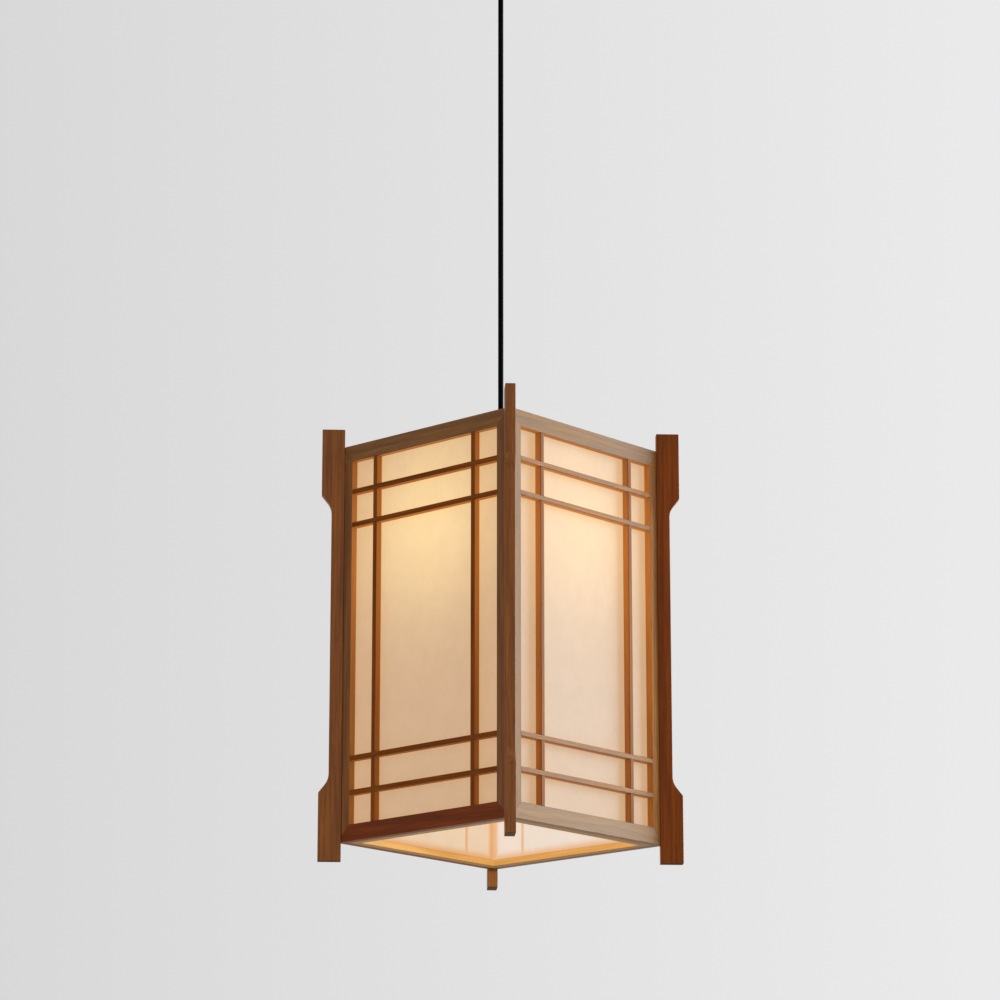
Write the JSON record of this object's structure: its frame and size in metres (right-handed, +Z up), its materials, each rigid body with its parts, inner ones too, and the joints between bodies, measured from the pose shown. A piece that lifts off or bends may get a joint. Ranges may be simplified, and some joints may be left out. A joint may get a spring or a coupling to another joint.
{
  "type": "wooden pendant light",
  "caption": "Square wooden lantern pendant: lattice panels over glowing paper, stepped corner fins, screw bulb inside, hung by a black cord from a round ceiling cup.",
  "frame": {"origin": "centre of the ceiling strap's two slots, on the ceiling plane above the cord", "axes": "+Z up along the cord; the front panel faces -Y and the right panel faces +X"},
  "size_m": [0.2868, 0.2868, 1.045],
  "materials": {
    "wood": "satin lacquered mid-brown hardwood",
    "sheet": "translucent fibred parchment sheet",
    "flex": "matt black round flex",
    "black_metal": "matt black powder coat",
    "steel": "zinc plated",
    "black_plastic": "moulded black plastic",
    "porcelain": "unglazed porcelain",
    "brass": "pressed brass",
    "bulb_glass": "opal glass",
    "bulb_cap": "rolled thread cap",
    "terminal": "white moulded plastic"
  },
  "bodies": {
    "ceiling_rose": {"canopy": "black_metal", "bracket": "steel", "ceiling_grip": "black_plastic", "ceiling_grip_nut": "steel", "terminal_block": "terminal", "cord_tail": "flex"},
    "cord_bend": {"cord_bend": "flex"},
    "cord": {"cord": "flex"},
    "lantern": {"back_level_bars": "wood", "back_rail_bottom": "wood", "back_rail_top": "wood", "back_sheet": "sheet", "back_stile_left": "wood", "back_stile_right": "wood", "back_uprights": "wood", "batten_ring_bottom": "wood", "batten_ring_top": "wood", "cord_grip": "black_plastic", "crossbar": "wood", "fin_back_left": "wood", "fin_front_right": "wood", "fin_left_front": "wood", "fin_right_back": "wood", "front_level_bars": "wood", "front_rail_bottom": "wood", "front_rail_top": "wood", "front_sheet": "sheet", "front_stile_left": "wood", "front_stile_right": "wood", "front_uprights": "wood", "holder_cap": "black_plastic", "holder_contacts": "brass", "holder_core": "porcelain", "holder_skirt": "black_plastic", "left_level_bars": "wood", "left_rail_bottom": "wood", "left_rail_top": "wood", "left_sheet": "sheet", "left_stile_left": "wood", "left_stile_right": "wood", "left_uprights": "wood", "nipple": "steel", "nipple_nut": "steel", "nipple_washers": "steel", "right_level_bars": "wood", "right_rail_bottom": "wood", "right_rail_top": "wood", "right_sheet": "sheet", "right_stile_left": "wood", "right_stile_right": "wood", "right_uprights": "wood"},
    "bulb_tip": {"bulb_contact": "brass"},
    "bulb": {"bulb_glass": "bulb_glass", "bulb_cap": "bulb_cap"}
  },
  "joints": [
    {"name": "swing_front_back", "type": "hinge", "parent": "ceiling_rose", "child": "cord_bend", "pos_m": [0, 0, -0.033], "axis": [1, 0, 0], "range_deg": [-15, 15]},
    {"name": "swing_left_right", "type": "hinge", "parent": "cord_bend", "child": "cord", "pos_m": [0, 0, -0.041], "axis": [0, 1, 0], "range_deg": [-15, 15]},
    {"name": "cord_twist", "type": "hinge", "parent": "cord", "child": "lantern", "pos_m": [0, 0, -0.5645], "axis": [0, 0, 1], "range_deg": [-180, 180]},
    {"name": "bulb_travel", "type": "slide", "parent": "lantern", "child": "bulb_tip", "axis": [0, 0, -1], "range_m": [0, 0.0146]},
    {"name": "bulb_turn", "type": "hinge", "parent": "bulb_tip", "child": "bulb", "pos_m": [0, 0, -0.6333], "axis": [0, 0, -1], "range_deg": [0, 1440]}
  ],
  "couplings": [
    {"joint": "bulb_travel", "follows": "bulb_turn", "m_per_rad": 0.00057757}
  ]
}
